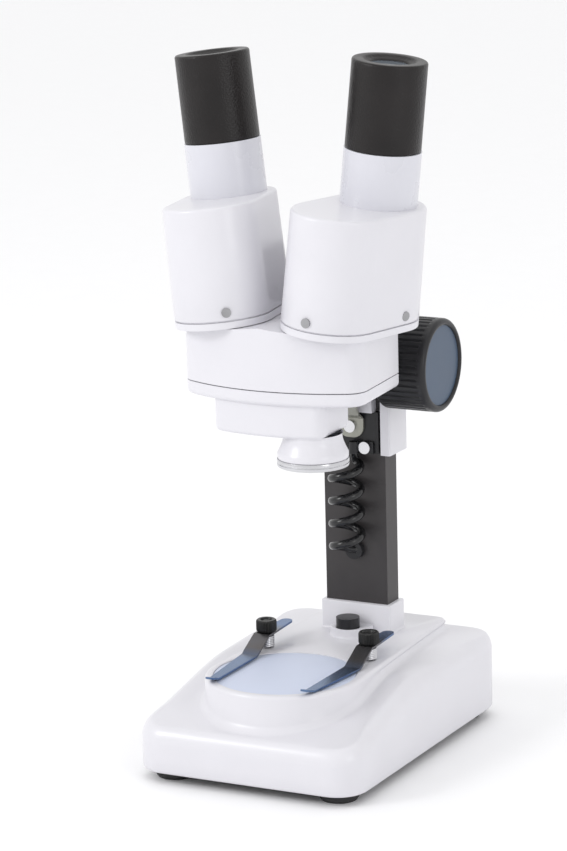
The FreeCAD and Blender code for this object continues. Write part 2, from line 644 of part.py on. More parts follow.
def carriage():
    half = size["carriage_half"]
    front = size["carriage_front"]
    slot = size["column_width"] / 2 + size["slide_fit"]
    slot_back = size["column_y"] + size["column_depth"] / 2 + size["slide_fit"]
    column_face = size["column_y"] - size["column_depth"] / 2
    low = size["carriage_bottom"]
    top = size["carriage_top"]
    frame = block(-half, half, front, size["carriage_back"], low, top)
    frame = frame.makeFillet(0.8, upright_edges(frame, lambda place: True))
    frame = frame.cut(block(-slot, slot, front - 1, slot_back, low - 1, top + 1))
    gearbox = block(-half, half, size["gearbox_front"], column_face - size["slide_fit"] * 2,
                    size["gearbox_bottom"], size["gearbox_top"])
    arm = block(-size["arm_half"], size["arm_half"], size["head_back"], size["gearbox_front"],
                size["arm_bottom"], size["arm_top"])
    bridge = block(-size["bridge_half"], size["bridge_half"], front, column_face - size["slide_fit"] * 2,
                   size["bridge_bottom"], size["gearbox_bottom"])
    tools = [block(-size["rack_width"] / 2 - 0.3, size["rack_width"] / 2 + 0.3, rack_root - 2.0 * size["gear_module"] - 0.3,
                   slot_back, size["bridge_bottom"] - 1, size["gearbox_top"] + 1)]
    for side in (-1, 1):
        tools.append(Part.makeCylinder(1.5, 7, Vector(side * 8, size["head_back"] - 1, size["arm_bottom"] + 6),
                                       Vector(0, 1, 0)))
    pin = Part.makeCylinder(size["bushing_radius"], 2 * half + 2, Vector(-half - 1, knob_y, size["knob_z"]), Vector(1, 0, 0))
    well = Part.makeCylinder(pitch_radius + size["gear_module"] + 0.5, size["rack_width"] + 1.2,
                             Vector(-size["rack_width"] / 2 - 0.6, knob_y, size["knob_z"]), Vector(1, 0, 0))
    return frame.fuse([gearbox, bridge, arm]).removeSplitter().cut(tools + [pin, well])


node("focus_carriage", shaped(carriage()))


def pinion():
    """Ten straight-sided teeth, with one space facing the rack tooth at the knob's height."""
    module = size["gear_module"]
    teeth = int(size["pinion_teeth"])
    outer = pitch_radius + 0.85 * module
    root = pitch_radius - 1.15 * module
    width = size["rack_width"]
    body = Part.makeCylinder(root, width, Vector(-width / 2, 0, 0), Vector(1, 0, 0))
    half_root = 0.95 * module - size["gear_relief"]
    half_tip = 0.28 * module
    points = [Vector(-width / 2, root - 0.4, -half_root), Vector(-width / 2, outer, -half_tip),
              Vector(-width / 2, outer, half_tip), Vector(-width / 2, root - 0.4, half_root)]
    tooth = Part.Face(Part.makePolygon(points + points[:1])).extrude(Vector(width, 0, 0))
    all_teeth = []
    for i in range(teeth):
        one = tooth.copy()
        one.rotate(Vector(), Vector(1, 0, 0), (i + 0.5) * 360.0 / teeth)
        all_teeth.append(one)
    bore = Part.makeCylinder(size["shaft_radius"], width + 2, Vector(-width / 2 - 1, 0, 0), Vector(1, 0, 0))
    solid = body.fuse(all_teeth).removeSplitter().cut(bore)
    solid.translate(Vector(0, knob_y, size["knob_z"]))
    return solid


node("pinion", shaped(pinion()))
shaft_half = size["knob_outer"] - 8
node("pinion_shaft", cylinder("shaft_radius", 2 * shaft_half, -shaft_half, knob_y, "knob_z", "X"))
bushings = []
for name, side in SIDES:
    length = "carriage_half - rack_width / 2 - 0.6"
    start = {-1: "-carriage_half", 1: "rack_width / 2 + 0.6"}[side]
    outer = cylinder("bushing_radius", length, start, knob_y, "knob_z", "X")
    inner = cylinder("shaft_radius + shaft_fit", length + " + 2", start + " - 1", knob_y, "knob_z", "X")
    bushings.append(cut(outer, inner))
node("shaft_bushings", group(*bushings))


def knob(side):
    """A drum with a rounded outer edge, a shallow round recess in its end and a hollow inner end."""
    radius = size["knob_radius"]
    length = size["knob_outer"] - size["knob_inner"]
    drum = Part.makeCylinder(radius, length, Vector(0, 0, 0))
    drum = drum.makeFillet(size["knob_edge"], flat_edges(drum, length))
    end = Part.makeCylinder(radius - size["knob_rim"], 10, Vector(0, 0, length - size["knob_recess"] - 1.2))
    hollow = Part.makeCylinder(radius - 2.4, length - 10, Vector(0, 0, -1))
    hub = Part.makeCylinder(size["shaft_radius"] + 2.5, length - 8, Vector(0, 0, 0))
    bore = Part.makeCylinder(size["shaft_radius"], shaft_half - size["knob_inner"], Vector(0, 0, 0))
    solid = drum.cut([end, hollow]).fuse(hub).removeSplitter().cut(bore)
    solid.rotate(Vector(), Vector(0, 1, 0), 90 * side)
    solid.translate(Vector(side * size["knob_inner"], knob_y, size["knob_z"]))
    return solid


for name, side in SIDES:
    node("focus_knob_" + name, shaped(knob(side)))
    start = {-1: "-knob_outer + knob_recess", 1: "knob_outer - knob_recess - 1.2"}[side]
    disc = cylinder("knob_radius - knob_rim - 0.05", 1.2, start, knob_y, "knob_z", "X")
    node("knob_disc_" + name, disc)

plate_y = column_front + " - 0.3 - front_plate_thick"
front_plate = box("-front_plate_half", "2 * front_plate_half", plate_y, "front_plate_thick",
                  "carriage_bottom", "bridge_bottom - carriage_bottom")
node("carriage_front_plate", front_plate)

# --- lamp and cord clamp ---------------------------------------------------------------------------------

tab_y = size["column_y"] - size["column_depth"] / 2 - 0.3 - size["front_plate_thick"]


def lamp_frame():
    """From the lamp's own axis, pointing down along -Z, to the microscope: it aims at the stage."""
    aim = Vector(0, size["stage_y"] - size["lamp_y"], size["platform_top"] - size["lamp_z"])
    return Placement(Vector(0, size["lamp_y"], size["lamp_z"]), Rotation(Vector(0, 0, -1), aim))


def lamp_bracket():
    """Bent sheet metal: a tab on the front plate, a slope, a level arm and a ring around the lamp."""
    thick = size["sheet_metal"]
    half = size["tab_half"]
    arm_z = size["lamp_z"] - 4.0
    ring_y = size["lamp_y"] - 0.4
    outside = [(tab_y, size["tab_bottom"]), (tab_y, size["tab_fold"]), (tab_y - 4, size["tab_fold"] + 3),
               (tab_y - 9, arm_z), (ring_y, arm_z)]
    inside = [(ring_y, arm_z - thick), (tab_y - 9.5, arm_z - thick), (tab_y - 4.8, size["tab_fold"] + 2.4),
              (tab_y - thick, size["tab_fold"] + 0.3), (tab_y - thick, size["tab_bottom"])]
    points = [Vector(-half, y, z) for y, z in outside + inside]
    strip = Part.Face(Part.makePolygon(points + points[:1])).extrude(Vector(2 * half, 0, 0))
    low = [edge for edge in strip.Edges
           if edge.BoundBox.XLength < 0.01 and edge.BoundBox.ZLength < 0.01 and edge.BoundBox.ZMin < size["tab_bottom"] + 0.1]
    strip = strip.makeFillet(half * 0.8, low)
    ring = rod(size["lamp_radius"] + 2, arm_z - thick, arm_z, 0, ring_y)
    bore = Part.makeCylinder(size["lamp_radius"], 40, Vector(0, 0, -30))
    bore.Placement = lamp_frame()
    screw = Part.makeCylinder(1.5, 10, Vector(0, tab_y - 5, size["tab_bottom"] + 4.4), Vector(0, 1, 0))
    return strip.fuse(ring).removeSplitter().cut([bore, screw])


node("lamp_bracket", shaped(lamp_bracket()))
lamp = cut(cylinder("lamp_radius", "lamp_length", 0, 0, "-lamp_length"),
           cylinder("lamp_radius - 1.2", 5, 0, 0, "-lamp_length - 1"))
node("lamp", lamp, lamp_frame())
bulb = fuse(cylinder("lamp_radius - 1.2", 1.2, 0, 0, "-lamp_length + 2.8"),
            cone(1.2, 2.4, 2.0, 0, 0, "-lamp_length + 0.9"))
node("lamp_led", bulb, lamp_frame())
screw_y = tab_y - size["sheet_metal"]
tab_screw = fuse(cylinder(2.4, 1.1, 0, screw_y - 1.1, "tab_bottom + 4.4", "Y"),
                 cylinder(1.5, "sheet_metal + 0.1", 0, screw_y - 0.1, "tab_bottom + 4.4", "Y"))
clamp = cut(fuse(box("clamp_x - 3.4", 6.8, tab_y - 1.0, 1.0, "clamp_z - 2.2", 4.6),
                 cylinder(1.9, 4.6, "clamp_x - 4.4", tab_y - 2.2, "clamp_z - 2.2")),
            cylinder("cord_radius + 0.05", 6, "clamp_x - 4.4", tab_y - 2.2, "clamp_z - 2.8"))
node("cord_clamp", clamp)
clamp_screw = cylinder(2.4, 1.1, "clamp_x", tab_y - 2.1, "clamp_z + 0.1", "Y")
node("plate_screws", group(tab_screw, clamp_screw))

# --- head --------------------------------------------------------------------------------------------------

def bow(front_half, back_half, front, side_y, back, z_low, height, corner):
    """A solid with a bowed front, straight sides and rounded front corners."""
    start = Vector(-front_half, side_y, z_low)
    end = Vector(front_half, side_y, z_low)
    edges = [Part.Arc(start, Vector(0, front, z_low), end).toShape(),
             Part.LineSegment(end, Vector(back_half, back, z_low)).toShape(),
             Part.LineSegment(Vector(back_half, back, z_low), Vector(-back_half, back, z_low)).toShape(),
             Part.LineSegment(Vector(-back_half, back, z_low), start).toShape()]
    solid = prism(Part.Wire(edges), height)
    return solid.makeFillet(corner, upright_edges(solid, lambda place: place.y < (front + back) / 2))


def head_plan(inset, z_low, height):
    return bow(size["head_front_half"] - inset, size["head_back_half"] - inset, size["head_front"] + inset,
               size["head_side"] + inset, size["head_back"] - inset, z_low, height, size["head_corner"] - inset)


def under_roof(solid, depth):
    """What lies below the two tilted planes on which the housings swing, by a depth."""
    for name, side in SIDES:
        slab = block(-150, 150, -150, 150, -depth, 300)
        slab.Placement = axis_frame(side)
        solid = solid.cut(slab)
    return solid


def head_upper():
    low = size["head_seam"]
    gap = size["housing_gap"]
    wall = size["head_wall"]
    outer = under_roof(head_plan(0, low, 60), gap)
    inner = under_roof(head_plan(wall, low - 1, 60), gap + wall)
    shell = outer.cut(inner)
    tools = []
    for name, side in SIDES:
        x, y = lobe_centre(side)
        hole = rod(size["swivel_radius"] + size["swivel_fit"], -30, 30, x, y)
        hole.Placement = axis_frame(side)
        tools.append(hole.common(block(-100, 100, -100, 100, low + 6, 300)))
        screw = Part.makeCylinder(1.5, 8, Vector(side * 8, size["head_back"] - 5, size["arm_bottom"] + 6), Vector(0, 1, 0))
        tools.append(screw)
    return shell.cut(tools)


def lens_path(side, low, high):
    return rod(size["light_bore"], low, high, side * size["nose_x"], size["nose_y"])


def head_lower():
    low = size["head_bottom"]
    high = size["head_seam"] - size["seam_gap"]
    plate = head_plan(0, low, high - low)
    plate = plate.makeFillet(size["head_edge"], flat_edges(plate, low))
    lip = head_plan(size["head_wall"], high, size["seam_gap"] + 1.6)
    pan = head_plan(size["head_wall"] + 1.6, low + size["head_wall"], 20)
    return plate.fuse(lip).removeSplitter().cut([pan] + [lens_path(side, low - 1, high + 9) for name, side in SIDES])


def objective_block():
    low = size["block_bottom"]
    high = size["head_bottom"]
    block_of = bow(size["block_half"], size["block_half"] - 1, size["block_front"], size["block_side"],
                   size["block_back"], low, high - low, 5.0)
    block_of = block_of.makeFillet(1.6, flat_edges(block_of, low))
    tools = [lens_path(side, low - 1, high + 1) for name, side in SIDES]
    tools.append(rod(size["lens_radius"], low - 1, low + size["lens_thick"] + 0.6, -size["nose_x"], size["nose_y"]))
    return block_of.cut(tools)


node("head_upper", shaped(head_upper()))
node("head_lower", shaped(head_lower()))
node("objective_block", shaped(objective_block()))
screws = []
for name, side in SIDES:
    head = cylinder(2.6, 1.4, side * 8, "head_back - head_wall - 1.4", "arm_bottom + 6", "Y")
    screws.append(fuse(head, cylinder(1.5, "head_wall + 6.1", side * 8, "head_back - head_wall - 0.1",
                                      "arm_bottom + 6", "Y")))
node("arm_screws", group(*screws))

nose_end = "block_bottom - nose_flare - nose_land"
barrel = fuse(cone("nose_radius", "nose_top_radius", "nose_flare", "nose_x", "nose_y", "block_bottom - nose_flare"),
              cylinder("nose_radius", "nose_land", "nose_x", "nose_y", nose_end))
node("objective_barrel", cut(barrel, cylinder("light_bore", 30, "nose_x", "nose_y", nose_end + " - 5")))
ring = cut(cylinder("ring_radius", "ring_height", "nose_x", "nose_y", nose_end + " - ring_height"),
           cylinder("lens_radius", 30, "nose_x", "nose_y", nose_end + " - 5"))
node("objective_ring", ring)
node("objective_lens_right", cylinder("lens_radius", "ring_height - 0.8", "nose_x", "nose_y",
                                      nose_end + " - ring_height + 0.8"))
node("objective_lens_left", cylinder("lens_radius", "lens_thick", "-nose_x", "nose_y", "block_bottom + 0.6"))

# --- prism housings and eyepieces ------------------------------------------------------------------------------

def housing_circles(side, radius):
    x, y = lobe_centre(side)
    return [(0, 0, radius), (x, y, radius)]


def housing_shell(side):
    low = size["housing_plate"]
    high = low + size["housing_height"]
    wall = size["housing_wall"]
    outside = [hull(housing_circles(side, size["housing_bottom_radius"]), low),
               hull(housing_circles(side, size["housing_top_radius"]), high)]
    inside = [hull(housing_circles(side, size["housing_bottom_radius"] - wall), low),
              hull(housing_circles(side, size["housing_top_radius"] - wall), high - wall)]
    outer = Part.makeLoft(outside, True, True)
    outer = outer.makeFillet(1.0, flat_edges(outer, high))
    tools = [Part.makeLoft(inside, True, True), rod(size["tube_radius"], high - 10, high + 5, 0, 0)]
    return outer.cut(tools)


def housing_base(side):
    """The housing's bottom plate with the spigot that swings in the head."""
    x, y = lobe_centre(side)
    plate = prism(hull(housing_circles(side, size["housing_bottom_radius"]), 0), size["housing_plate"])
    reach = size["housing_gap"] + size["head_wall"] + 2.0
    spigot = rod(size["swivel_radius"], -reach, 0.5, x, y)
    bore = rod(size["light_bore"], -reach - 1, size["housing_plate"] + 1, x, y)
    return plate.fuse(spigot).removeSplitter().cut(bore)


def swivel_ring(side):
    x, y = lobe_centre(side)
    top = -size["housing_gap"] * 2 - size["head_wall"]
    outer = rod(size["swivel_radius"] + size["swivel_ring"], top - 1.2, top, x, y)
    return outer.cut(rod(size["swivel_radius"], top - 3, top + 3, x, y))


def rhomboid(side):
    """Shifts the light from the front end's axis to the eyepiece axis."""
    x, y = lobe_centre(side)
    half = size["prism_size"] / 2
    tall = size["prism_size"]
    low = size["housing_plate"]
    reach = math.hypot(x, y)
    points = [Vector(-reach - half, 0, low), Vector(-half, 0, low), Vector(half, 0, low + tall),
              Vector(-reach + half, 0, low + tall)]
    solid = Part.Face(Part.makePolygon(points + points[:1])).extrude(Vector(0, tall, 0))
    solid.translate(Vector(0, -tall / 2, 0))
    solid.rotate(Vector(), Vector(0, 0, 1), math.degrees(math.atan2(-y, -x)))
    return solid


def housing_screws(side):
    """Small screws through the foot of the shell, square to its wall."""
    low = size["housing_plate"] + 3.6
    draft = (size["housing_bottom_radius"] - size["housing_top_radius"]) / size["housing_height"]
    radius = size["housing_bottom_radius"] - 3.6 * draft
    front = lobe_centre(side)
    back = (0, 0)
    places = {1: ((front, -94), (back, -20), (back, 100)), -1: ((front, -58), (back, 160), (back, 60))}
    parts = []
    for (x, y), angle in places[side]:
        turn = math.radians(angle)
        out = Vector(math.cos(turn), math.sin(turn), 0)
        middle = Vector(x, y, low)
        head = Part.makeCylinder(1.8, 1.0, middle + out * (radius - 0.4), out)
        shank = Part.makeCylinder(0.9, size["housing_wall"], middle + out * (radius - 0.2 - size["housing_wall"]), out)
        parts.append(head.fuse(shank).removeSplitter())
    return parts


tube_low = "housing_plate + housing_height - tube_root"
cup_low = "housing_plate + housing_height + tube_length"
for name, side in SIDES:
    frame = axis_frame(side)
    screws = housing_screws(side)
    node("housing_shell_" + name, shaped(housing_shell(side).cut(screws)), frame)
    node("housing_base_" + name, shaped(housing_base(side)), frame)
    node("swivel_ring_" + name, shaped(swivel_ring(side)), frame)
    node("prism_" + name, shaped(rhomboid(side)), frame)
    node("housing_screws_" + name, shaped(Part.makeCompound(screws)), frame)
    tube = cut(cylinder("tube_radius", "tube_root + tube_length", 0, 0, tube_low),
               cylinder("tube_radius - tube_wall", 60, 0, 0, tube_low + " - 5"))
    node("eyepiece_tube_" + name, tube, frame)
    top = cup_low + " + cup_length"
    body = fuse(cylinder("cup_radius", "cup_length", 0, 0, cup_low),
                cylinder("tube_radius - tube_wall - eyepiece_fit", "eyepiece_plug + 0.5", 0, 0, cup_low + " - eyepiece_plug"))
    lens_seat = cylinder("cup_hole + 0.8", "eye_lens_thick", 0, 0, top + " - cup_recess - eye_lens_thick")
    bore = cylinder("cup_hole", 80, 0, 0, cup_low + " - 20")
    node("eyepiece_" + name, cut(body, bore, lens_seat), frame)
    lens = cylinder("cup_hole + 0.8", "eye_lens_thick", 0, 0, top + " - cup_recess - eye_lens_thick")
    node("eye_lens_" + name, group(lens), frame)

# --- recompute, check and write -----------------------------------------------------------------------------

doc.recompute()
problems = []
for thing in doc.Objects:
    if "Invalid" in thing.State or "Error" in thing.State:
        problems.append("%s (%s) failed" % (thing.Name, thing.Label))
for thing in nodes:
    if thing.Shape.isNull() or not thing.Shape.isValid():
        problems.append("%s has no valid shape" % thing.Label)
    elif not thing.Shape.Solids:
        problems.append("%s has no solid" % thing.Label)
if len(set(thing.Label for thing in nodes)) != len(nodes):
    problems.append("two nodes share a name")
if problems:
    raise RuntimeError("; ".join(problems))

os.makedirs("parts", exist_ok=True)
for thing in nodes:
    thing.Shape.exportStep("parts/%s.step" % thing.Label)
    print("%-24s %3d solids %10.1f mm3" % (thing.Label, len(thing.Shape.Solids), thing.Shape.Volume))
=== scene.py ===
import json
import math

import bmesh
import bpy
from mathutils import Matrix, Vector


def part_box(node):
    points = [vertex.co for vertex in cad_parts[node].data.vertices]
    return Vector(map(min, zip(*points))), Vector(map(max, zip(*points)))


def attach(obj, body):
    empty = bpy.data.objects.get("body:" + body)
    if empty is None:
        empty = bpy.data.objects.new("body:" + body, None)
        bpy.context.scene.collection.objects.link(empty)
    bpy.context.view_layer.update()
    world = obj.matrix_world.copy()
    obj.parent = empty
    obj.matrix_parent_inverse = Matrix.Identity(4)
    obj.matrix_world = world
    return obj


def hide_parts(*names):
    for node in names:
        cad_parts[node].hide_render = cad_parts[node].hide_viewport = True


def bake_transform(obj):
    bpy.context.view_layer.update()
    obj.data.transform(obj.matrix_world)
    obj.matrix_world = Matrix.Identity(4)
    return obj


# The looks of a small stereo microscope. Lengths are in millimetres up to the moment a mesh is made.
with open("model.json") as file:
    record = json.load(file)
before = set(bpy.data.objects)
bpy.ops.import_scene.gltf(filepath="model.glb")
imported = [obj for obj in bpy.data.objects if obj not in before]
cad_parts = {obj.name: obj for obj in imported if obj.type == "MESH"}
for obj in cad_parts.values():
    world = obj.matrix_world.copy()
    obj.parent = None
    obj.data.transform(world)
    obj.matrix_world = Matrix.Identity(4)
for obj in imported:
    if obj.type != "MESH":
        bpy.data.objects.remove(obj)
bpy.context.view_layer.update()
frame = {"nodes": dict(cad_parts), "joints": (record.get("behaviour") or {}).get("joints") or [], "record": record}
MM = 0.001
SIDES = (("left", -1), ("right", 1))
JOINTS = {joint["name"]: joint for joint in frame["joints"]}


def low_high(node):
    """A CAD node's box in millimetres."""
    low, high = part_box(node)
    return Vector(low) / MM, Vector(high) / MM


def middle(node):
    low, high = low_high(node)
    return (low + high) / 2


# --- camera, light and floor ----------------------------------------------------------------------

CAMERA_AZIMUTH = 27.5
CAMERA_ELEVATION = 13.18
CAMERA_ROLL = 1.375
CAMERA_TARGET = Vector((-13.5, 0.0, 125.6))
CAMERA_DISTANCE = 1408.0
CAMERA_LENS = 104.2


def make_camera():
    azimuth = math.radians(CAMERA_AZIMUTH)
    elevation = math.radians(CAMERA_ELEVATION)
    back = Vector((math.sin(azimuth) * math.cos(elevation), -math.cos(azimuth) * math.cos(elevation),
                   math.sin(elevation)))
    right = Vector((math.cos(azimuth), math.sin(azimuth), 0))
    up = back.cross(right)
    turn = Matrix((right, up, back)).transposed() @ Matrix.Rotation(-math.radians(CAMERA_ROLL), 3, "Z")
    data = bpy.data.cameras.new("camera")
    data.sensor_fit = "VERTICAL"
    data.sensor_height = 24
    data.lens = CAMERA_LENS
    data.clip_end = 20
    camera = bpy.data.objects.new("camera", data)
    camera.matrix_world = Matrix.Translation((CAMERA_TARGET + back * CAMERA_DISTANCE) * MM) @ turn.to_4x4()
    bpy.context.scene.collection.objects.link(camera)
    bpy.context.scene.camera = camera


def area_light(name, place, aim, size, power):
    data = bpy.data.lights.new(name, "AREA")
    data.shape = "DISK"
    data.size = size
    data.energy = power
    light = bpy.data.objects.new(name, data)
    light.location = place
    light.rotation_euler = (Vector(aim) - Vector(place)).to_track_quat("-Z", "Y").to_euler()
    bpy.context.scene.collection.objects.link(light)


def make_studio():
    scene = bpy.context.scene
    world = bpy.data.worlds.new("studio")
    world.use_nodes = True
    sky = world.node_tree.nodes["Background"]
    sky.inputs["Color"].default_value = (1.0, 1.0, 1.0, 1)
    sky.inputs["Strength"].default_value = 1.0
    scene.world = world
    scene.view_settings.view_transform = "Standard"
    area_light("key", (-0.75, -0.85, 0.75), (0, 0, 0.14), 0.45, 4.2)
    area_light("side", (1.25, -0.55, 0.45), (0, 0, 0.12), 0.5, 1.6)
    area_light("top", (0.0, 0.2, 1.3), (0, 0, 0.1), 0.6, 0.8)
    mesh = bpy.data.meshes.new("floor")
    reach = 6.0
    corners = [(-reach, -reach, 0), (reach, -reach, 0), (reach, reach, 0), (-reach, reach, 0)]
    mesh.from_pydata(corners, [], [(0, 1, 2, 3)])
    floor = bpy.data.objects.new("floor", mesh)
    scene.collection.objects.link(floor)
    floor.data.materials.append(FLOOR)


# --- materials ------------------------------------------------------------------------------------

def material(name, color, roughness, spread=0.04, grain=1500.0, bump=0.02, metallic=0.0, coat=0.0,
             mottle=60.0, specular=0.5):
    """A procedural finish: soft colour mottling, uneven gloss and a fine surface grain."""
    made = bpy.data.materials.new(name)
    made.use_nodes = True
    nodes = made.node_tree.nodes
    links = made.node_tree.links
    shader = nodes["Principled BSDF"]
    shader.inputs["Metallic"].default_value = metallic
    shader.inputs["Coat Weight"].default_value = coat
    shader.inputs["Specular IOR Level"].default_value = specular
    shader.inputs["Coat Roughness"].default_value = 0.12
    place = nodes.new("ShaderNodeTexCoord")
    soft = nodes.new("ShaderNodeTexNoise")
    soft.inputs["Scale"].default_value = mottle
    soft.inputs["Detail"].default_value = 4
    links.new(place.outputs["Object"], soft.inputs["Vector"])
    tint = nodes.new("ShaderNodeValToRGB")
    dark = [max(0.0, c * (1 - spread)) for c in color]
    light = [min(1.0, c * (1 + spread)) for c in color]
    tint.color_ramp.elements[0].position = 0.3
    tint.color_ramp.elements[0].color = (*dark, 1)
    tint.color_ramp.elements[1].position = 0.7
    tint.color_ramp.elements[1].color = (*light, 1)
    links.new(soft.outputs["Fac"], tint.inputs["Fac"])
    links.new(tint.outputs["Color"], shader.inputs["Base Color"])
    gloss = nodes.new("ShaderNodeMapRange")
    gloss.inputs["To Min"].default_value = max(0.02, roughness - 0.06)
    gloss.inputs["To Max"].default_value = min(1.0, roughness + 0.06)
    links.new(soft.outputs["Fac"], gloss.inputs["Value"])
    links.new(gloss.outputs["Result"], shader.inputs["Roughness"])
    fine = nodes.new("ShaderNodeTexNoise")
    fine.inputs["Scale"].default_value = grain
    fine.inputs["Detail"].default_value = 2
    links.new(place.outputs["Object"], fine.inputs["Vector"])
    relief = nodes.new("ShaderNodeBump")
    relief.inputs["Strength"].default_value = bump
    relief.inputs["Distance"].default_value = 0.0005
    links.new(fine.outputs["Fac"], relief.inputs["Height"])
    links.new(relief.outputs["Normal"], shader.inputs["Normal"])
    return made


def cellular(made, scale, strength):
    """Adds a pebbled relief, as on a soft grip."""
    nodes = made.node_tree.nodes
    links = made.node_tree.links
    place = next(node for node in nodes if node.type == "TEX_COORD")
    old = next(node for node in nodes if node.type == "BUMP")
    cells = nodes.new("ShaderNodeTexVoronoi")
    cells.inputs["Scale"].default_value = scale
    links.new(place.outputs["Object"], cells.inputs["Vector"])
    relief = nodes.new("ShaderNodeBump")
    relief.inputs["Strength"].default_value = strength
    relief.inputs["Distance"].default_value = 0.0004
    links.new(cells.outputs["Distance"], relief.inputs["Height"])
    links.new(old.outputs["Normal"], relief.inputs["Normal"])
    links.new(relief.outputs["Normal"], nodes["Principled BSDF"].inputs["Normal"])
    return made


def painted_reflection_bands(made):
    """Adds painted reflection: blue and brown bands along the strip's length that stand in for the reflections on the
    steel.
    """
    nodes = made.node_tree.nodes
    links = made.node_tree.links
    place = next(node for node in nodes if node.type == "TEX_COORD")
    tint = next(node for node in nodes if node.type == "VALTORGB")
    split = nodes.new("ShaderNodeSeparateXYZ")
    links.new(place.outputs["Object"], split.inputs["Vector"])
    along = nodes.new("ShaderNodeMapRange")
    along.inputs["From Min"].default_value = -0.054
    along.inputs["From Max"].default_value = 0.017
    links.new(split.outputs["Y"], along.inputs["Value"])
    # painted reflection: alternating blue and brown bands along Y, mixed over the steel's own colour
    bands = nodes.new("ShaderNodeValToRGB")
    bands.color_ramp.elements[0].position = 0.46
    bands.color_ramp.elements[0].color = (0.11, 0.2, 0.38, 1)
    bands.color_ramp.elements[1].position = 0.58
    bands.color_ramp.elements[1].color = (0.17, 0.15, 0.13, 1)
    for position, color in ((0.78, (0.13, 0.12, 0.11, 1)), (0.88, (0.1, 0.2, 0.42, 1))):
        bands.color_ramp.elements.new(position).color = color
    links.new(along.outputs["Result"], bands.inputs["Fac"])
    mix = nodes.new("ShaderNodeMixRGB")
    mix.inputs["Fac"].default_value = 0.65
    links.new(tint.outputs["Color"], mix.inputs["Color1"])
    links.new(bands.outputs["Color"], mix.inputs["Color2"])
    links.new(mix.outputs["Color"], nodes["Principled BSDF"].inputs["Base Color"])
    return made


def glass(name, color, roughness=0.02):
    made = material(name, color, roughness, spread=0.03, bump=0.0)
    made.node_tree.nodes["Principled BSDF"].inputs["Transmission Weight"].default_value = 0.6
    return made


FLOOR = material("floor", (0.93, 0.93, 0.94), 0.7, spread=0.004, grain=400, bump=0.0)
WHITE = material("white_plastic", (0.69, 0.683, 0.722), 0.32, spread=0.012, grain=2500, bump=0.02, coat=0.15)
TUBE = material("tube_white", (0.64, 0.64, 0.69), 0.28, spread=0.012, grain=2500, bump=0.02, coat=0.2)
STAGE = material("stage_white", (0.60, 0.65, 0.79), 0.5, spread=0.01, grain=1800, bump=0.03)
BLACK = material("black_plastic", (0.014, 0.014, 0.016), 0.34, spread=0.15, grain=2200, bump=0.05,
                 specular=0.35)
EYEPIECE = cellular(material("eyepiece_black", (0.012, 0.010, 0.010), 0.34, spread=0.2, grain=1800, bump=0.1,
                             specular=0.28), 1400, 0.25)
COLUMN = material("column_black", (0.045, 0.041, 0.042), 0.42, spread=0.1, grain=1600, bump=0.06,
                  metallic=0.3)
SCREW_BLACK = material("black_screw", (0.018, 0.018, 0.018), 0.35, spread=0.1, metallic=0.4)
# the clip strips' own dark blue steel, with painted reflection bands laid over it
BLUED_WITH_PAINTED_REFLECTION = painted_reflection_bands(material("blued_steel", (0.09, 0.11, 0.16), 0.24, spread=0.3, grain=900, bump=0.05,
                          metallic=0.9, mottle=120))
BRIGHT = material("bright_steel", (0.62, 0.62, 0.64), 0.22, spread=0.06, metallic=1.0)
SCREW_STEEL = material("screw_steel", (0.36, 0.36, 0.37), 0.34, spread=0.12, metallic=1.0)
RACK = material("rack_steel", (0.4, 0.4, 0.42), 0.35, spread=0.08, metallic=1.0)
BRASS = material("brass", (0.62, 0.45, 0.2), 0.3, spread=0.08, metallic=1.0)
LENS = glass("lens_glass", (0.25, 0.3, 0.36))
PRISM = glass("prism_glass", (0.8, 0.85, 0.9))
DISC = material("disc_grey", (0.055, 0.085, 0.135), 0.4, spread=0.05, grain=1600, bump=0.04)
RUBBER = material("foot_rubber", (0.025, 0.025, 0.026), 0.75, spread=0.2, grain=2600, bump=0.2)
CORD = material("cord_black", (0.008, 0.008, 0.009), 0.2, spread=0.2, grain=2600, bump=0.03, coat=0.25,
                specular=0.35)
BRACKET = material("bracket_grey", (0.33, 0.33, 0.29), 0.4, spread=0.06, grain=1200, bump=0.04, metallic=0.5)
CELL = material("cell_jacket", (0.12, 0.14, 0.17), 0.35, spread=0.1)
LED = material("led", (0.9, 0.87, 0.7), 0.2, spread=0.02)

PAINT = {
    "white_plastic": WHITE, "stage_white": STAGE, "black_plastic": BLACK, "eyepiece_black": EYEPIECE,
    "column_black": COLUMN, "black_screw": SCREW_BLACK, "blued_steel": BLUED_WITH_PAINTED_REFLECTION, "bright_steel": BRIGHT,
    "rack_steel": RACK, "brass": BRASS, "lens_glass": LENS, "prism_glass": PRISM, "disc_grey": DISC,
    "foot_rubber": RUBBER, "cord_black": CORD, "bracket_grey": BRACKET, "cell_jacket": CELL, "led": LED,
}


def paint_nodes():
    """Every CAD node gets its slot's finish, the eyepiece tubes and housing screws a finish of their own, and nodes
    thicker than 2 mm softened edges.
    """
    slots = {part["node"]: part["material_slot"] for part in frame["record"]["subparts"]}
    for name, thing in frame["nodes"].items():
        paint = PAINT[slots[name]]
        if name.startswith("eyepiece_tube"):
            paint = TUBE
        elif name.startswith("housing_screws"):
            paint = SCREW_STEEL
        thing.data.materials.clear()
        thing.data.materials.append(paint)
        low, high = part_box(name)
        if min(high[i] - low[i] for i in range(3)) > 0.002:
            soften(thing, 0.35)


def soften(thing, width):
    edge = thing.modifiers.new("soft_edges", "BEVEL")
    edge.width = width * MM
    edge.segments = 2
    edge.limit_method = "ANGLE"
    edge.angle_limit = math.radians(40)
    edge.use_clamp_overlap = True
    edge.harden_normals = True


# --- making pieces --------------------------------------------------------------------------------

def piece(name, mesh, body, paint, slot, *nodes):
    """A finished mesh as a piece that rides on a body and stands for CAD nodes."""
    thing = bpy.data.objects.new(name, mesh)
    bpy.context.scene.collection.objects.link(thing)
    mesh.materials.append(paint)
    if nodes:
        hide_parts(*nodes)
    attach(thing, body)
    return thing


